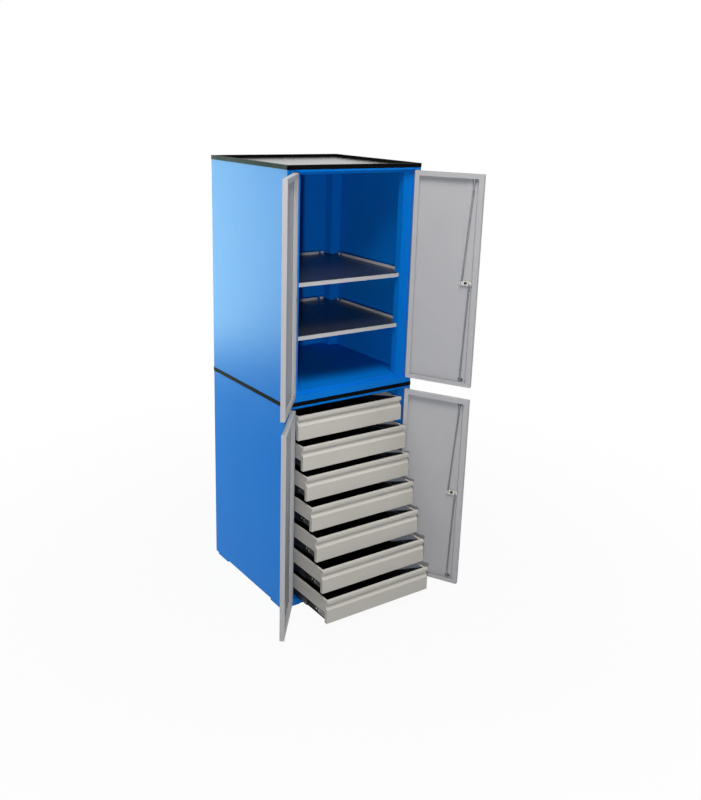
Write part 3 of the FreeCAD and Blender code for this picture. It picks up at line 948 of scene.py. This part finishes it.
    def slide_catch(self, number: int) -> bpy.types.Object:
        """Black release lever and front stop of both slide members.

        Args:
            number: which drawer.

        Returns:
            The black parts of both slides.
        """
        form = bmesh.new()
        corner = self.corner(number)
        for side in (-1, 1):
            for front, rear, lower, upper, out in self.catch_blocks:
                low = corner + Vector((side * self.web_x, front, lower))
                high = corner + Vector((side * (self.web_x + out), rear, upper))
                add_box(form, low, high, self.catch_round)
            knob = self.slide_place(number, side, self.knob_along, self.knob_out)
            add_dome(form, self.knob_radius, self.knob_height, knob)
        return publish("slide_catch_%d" % number, form, NYLON, self.body(number))


@dataclass(frozen=True)
class Lamp:
    """Soft box: an area light at a place, aimed at a point."""

    name: str
    at: tuple[float, float, float]
    aim: tuple[float, float, float]
    size: tuple[float, float]
    power: float
    colour: str = "#FFFFFF"

    def light(self) -> bpy.types.Object:
        """Make the lamp.

        Returns:
            The light's object.
        """
        data = bpy.data.lights.new(self.name, "AREA")
        data.shape = "RECTANGLE"
        data.size, data.size_y = self.size
        data.energy = self.power
        data.color = srgb(self.colour)[:3]
        lamp = bpy.data.objects.new(self.name, data)
        lamp.location = self.at
        lamp.rotation_euler = (Vector(self.aim) - Vector(self.at)).to_track_quat("-Z", "Y").to_euler()
        bpy.context.scene.collection.objects.link(lamp)
        return lamp


@dataclass
class PhotoCamera:
    """Camera at the photograph's viewpoint, with its focal length and centre in pixels."""

    at: tuple[float, float, float] = (-2.2388, -3.4384, 2.2418)
    turn_deg: tuple[float, float, float] = (73.734, -1.563, -34.657)
    focal_px: float = 898.94
    centre_px: tuple[float, float] = (341.54, 365.35)
    image_px: tuple[int, int] = (701, 800)
    sensor_mm: float = 36.0

    def place(self) -> bpy.types.Object:
        """Make the camera and let the scene use it.

        Returns:
            The camera's object.
        """
        long_side = max(self.image_px)
        data = bpy.data.cameras.new("photo_camera")
        data.sensor_width = self.sensor_mm
        data.lens = self.focal_px / long_side * self.sensor_mm
        data.shift_x = (self.image_px[0] / 2 - self.centre_px[0]) / long_side
        data.shift_y = (self.centre_px[1] - self.image_px[1] / 2) / long_side
        camera = bpy.data.objects.new("photo_camera", data)
        camera.location = self.at
        camera.rotation_euler = Euler([math.radians(a) for a in self.turn_deg], "XYZ")
        bpy.context.scene.collection.objects.link(camera)
        bpy.context.scene.camera = camera
        return camera


@dataclass
class Studio:
    """Pale floor that fades into white surroundings, and soft boxes."""

    lamps: tuple[Lamp, ...]
    floor_half: float = 30.0
    floor_colour: str = "#9C9C9C"
    fill: float = 0.07
    near_white: float = 0.95
    fade_start: float = 0.4
    fade_radius: float = 3.2

    def build(self) -> None:
        """Make floor, surroundings and lamps."""
        scene = bpy.context.scene
        scene.view_settings.view_transform = "Standard"
        self.surround(scene)
        self.floor()
        for lamp in self.lamps:
            lamp.light()
            log.info("%s lit", lamp.name)

    def seen(self, tree: bpy.types.NodeTree) -> bpy.types.NodeSocket:
        """One for rays from the camera, mirrors and glass, nought for the rest.

        Args:
            tree: node tree that asks.

        Returns:
            The socket that says so.
        """
        path = node(tree, "ShaderNodeLightPath")
        first = node(tree, "ShaderNodeMath", {"operation": "MAXIMUM"}, {
            0: path.outputs["Is Camera Ray"], 1: path.outputs["Is Glossy Ray"]})
        return node(tree, "ShaderNodeMath", {"operation": "MAXIMUM"}, {
            0: first.outputs["Value"], 1: path.outputs["Is Transmission Ray"]}).outputs["Value"]

    def surround(self, scene: bpy.types.Scene) -> None:
        """White where it is seen, a soft fill elsewhere.

        Args:
            scene: scene that gets the world.
        """
        world = bpy.data.worlds.new("studio_white")
        world.use_nodes = True
        tree = world.node_tree
        level = node(tree, "ShaderNodeMapRange", {}, {
            "Value": self.seen(tree), "To Min": self.fill, "To Max": 1.0})
        tree.links.new(level.outputs["Result"], tree.nodes["Background"].inputs["Strength"])
        tree.nodes["Background"].inputs["Color"].default_value = WHITE
        scene.world = world

    def floor(self) -> bpy.types.Object:
        """Make the floor: pale near the cabinet, where it keeps the shadow, and white further out.

        Returns:
            The floor's object.
        """
        form = bmesh.new()
        bmesh.ops.create_grid(form, x_segments=1, y_segments=1, size=self.floor_half)
        mesh = settle(form, "floor")
        floor = bpy.data.objects.new("floor", mesh)
        bpy.context.scene.collection.objects.link(floor)
        made = bpy.data.materials.new("pale_floor")
        made.use_nodes = True
        tree = made.node_tree
        tree.nodes.remove(tree.nodes["Principled BSDF"])
        place = node(tree, "ShaderNodeTexCoord").outputs["Object"]
        reach = node(tree, "ShaderNodeVectorMath", {"operation": "LENGTH"}, {0: place})
        white = node(tree, "ShaderNodeMapRange", {"interpolation_type": "SMOOTHSTEP"}, {
            "Value": reach.outputs["Value"], "From Min": self.fade_start, "From Max": self.fade_radius,
            "To Min": self.near_white, "To Max": 1.0})
        share = node(tree, "ShaderNodeMath", {"operation": "MULTIPLY"}, {
            0: self.seen(tree), 1: white.outputs["Result"]})
        matt = node(tree, "ShaderNodeBsdfDiffuse", {}, {"Color": srgb(self.floor_colour)})
        glow = node(tree, "ShaderNodeEmission", {}, {"Color": WHITE, "Strength": 1.0})
        mixed = node(tree, "ShaderNodeMixShader", {}, {
            0: share.outputs["Value"], 1: matt.outputs["BSDF"], 2: glow.outputs["Emission"]})
        tree.links.new(mixed.outputs["Shader"], tree.nodes["Material Output"].inputs["Surface"])
        mesh.materials.append(made)
        return floor


# A small key lamp beside the camera, for sharp narrow shadows; a large one that the left side mirrors;
# light from above, which draws the drawers' grooves; and a weak fill
LAMPS = (
    Lamp("key_box", (-2.38, -3.47, 1.7), (0.0, -0.2, 0.9), (0.1, 0.1), 70.0),
    Lamp("left_rear_box", (-2.2, 3.4, 1.15), (-0.34, 0.0, 1.3), (2.4, 2.1), 198.0, "#D4FFEE"),
    Lamp("ceiling_box", (-1.0, -2.1, 4.7), (0.0, -0.4, 0.8), (1.8, 1.8), 140.0, "#FFFBF5"),
    Lamp("right_fill_box", (3.0, -2.6, 3.4), (0.0, -0.3, 0.9), (1.0, 1.0), 44.0),
)


def main() -> None:
    """Load the frame, dress it, light it and place the camera."""
    logging.basicConfig(level=logging.INFO, format="%(name)s: %(message)s")
    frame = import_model()
    Carcass(frame).build()
    DoorPair(frame, Tier.UPPER, left_rest_deg=129.4).build()
    DoorPair(frame, Tier.LOWER, left_rest_deg=128.6).build()
    DrawerBank(frame).build()
    Studio(LAMPS).build()
    PhotoCamera().place()


if __name__ == "__main__":
    main()
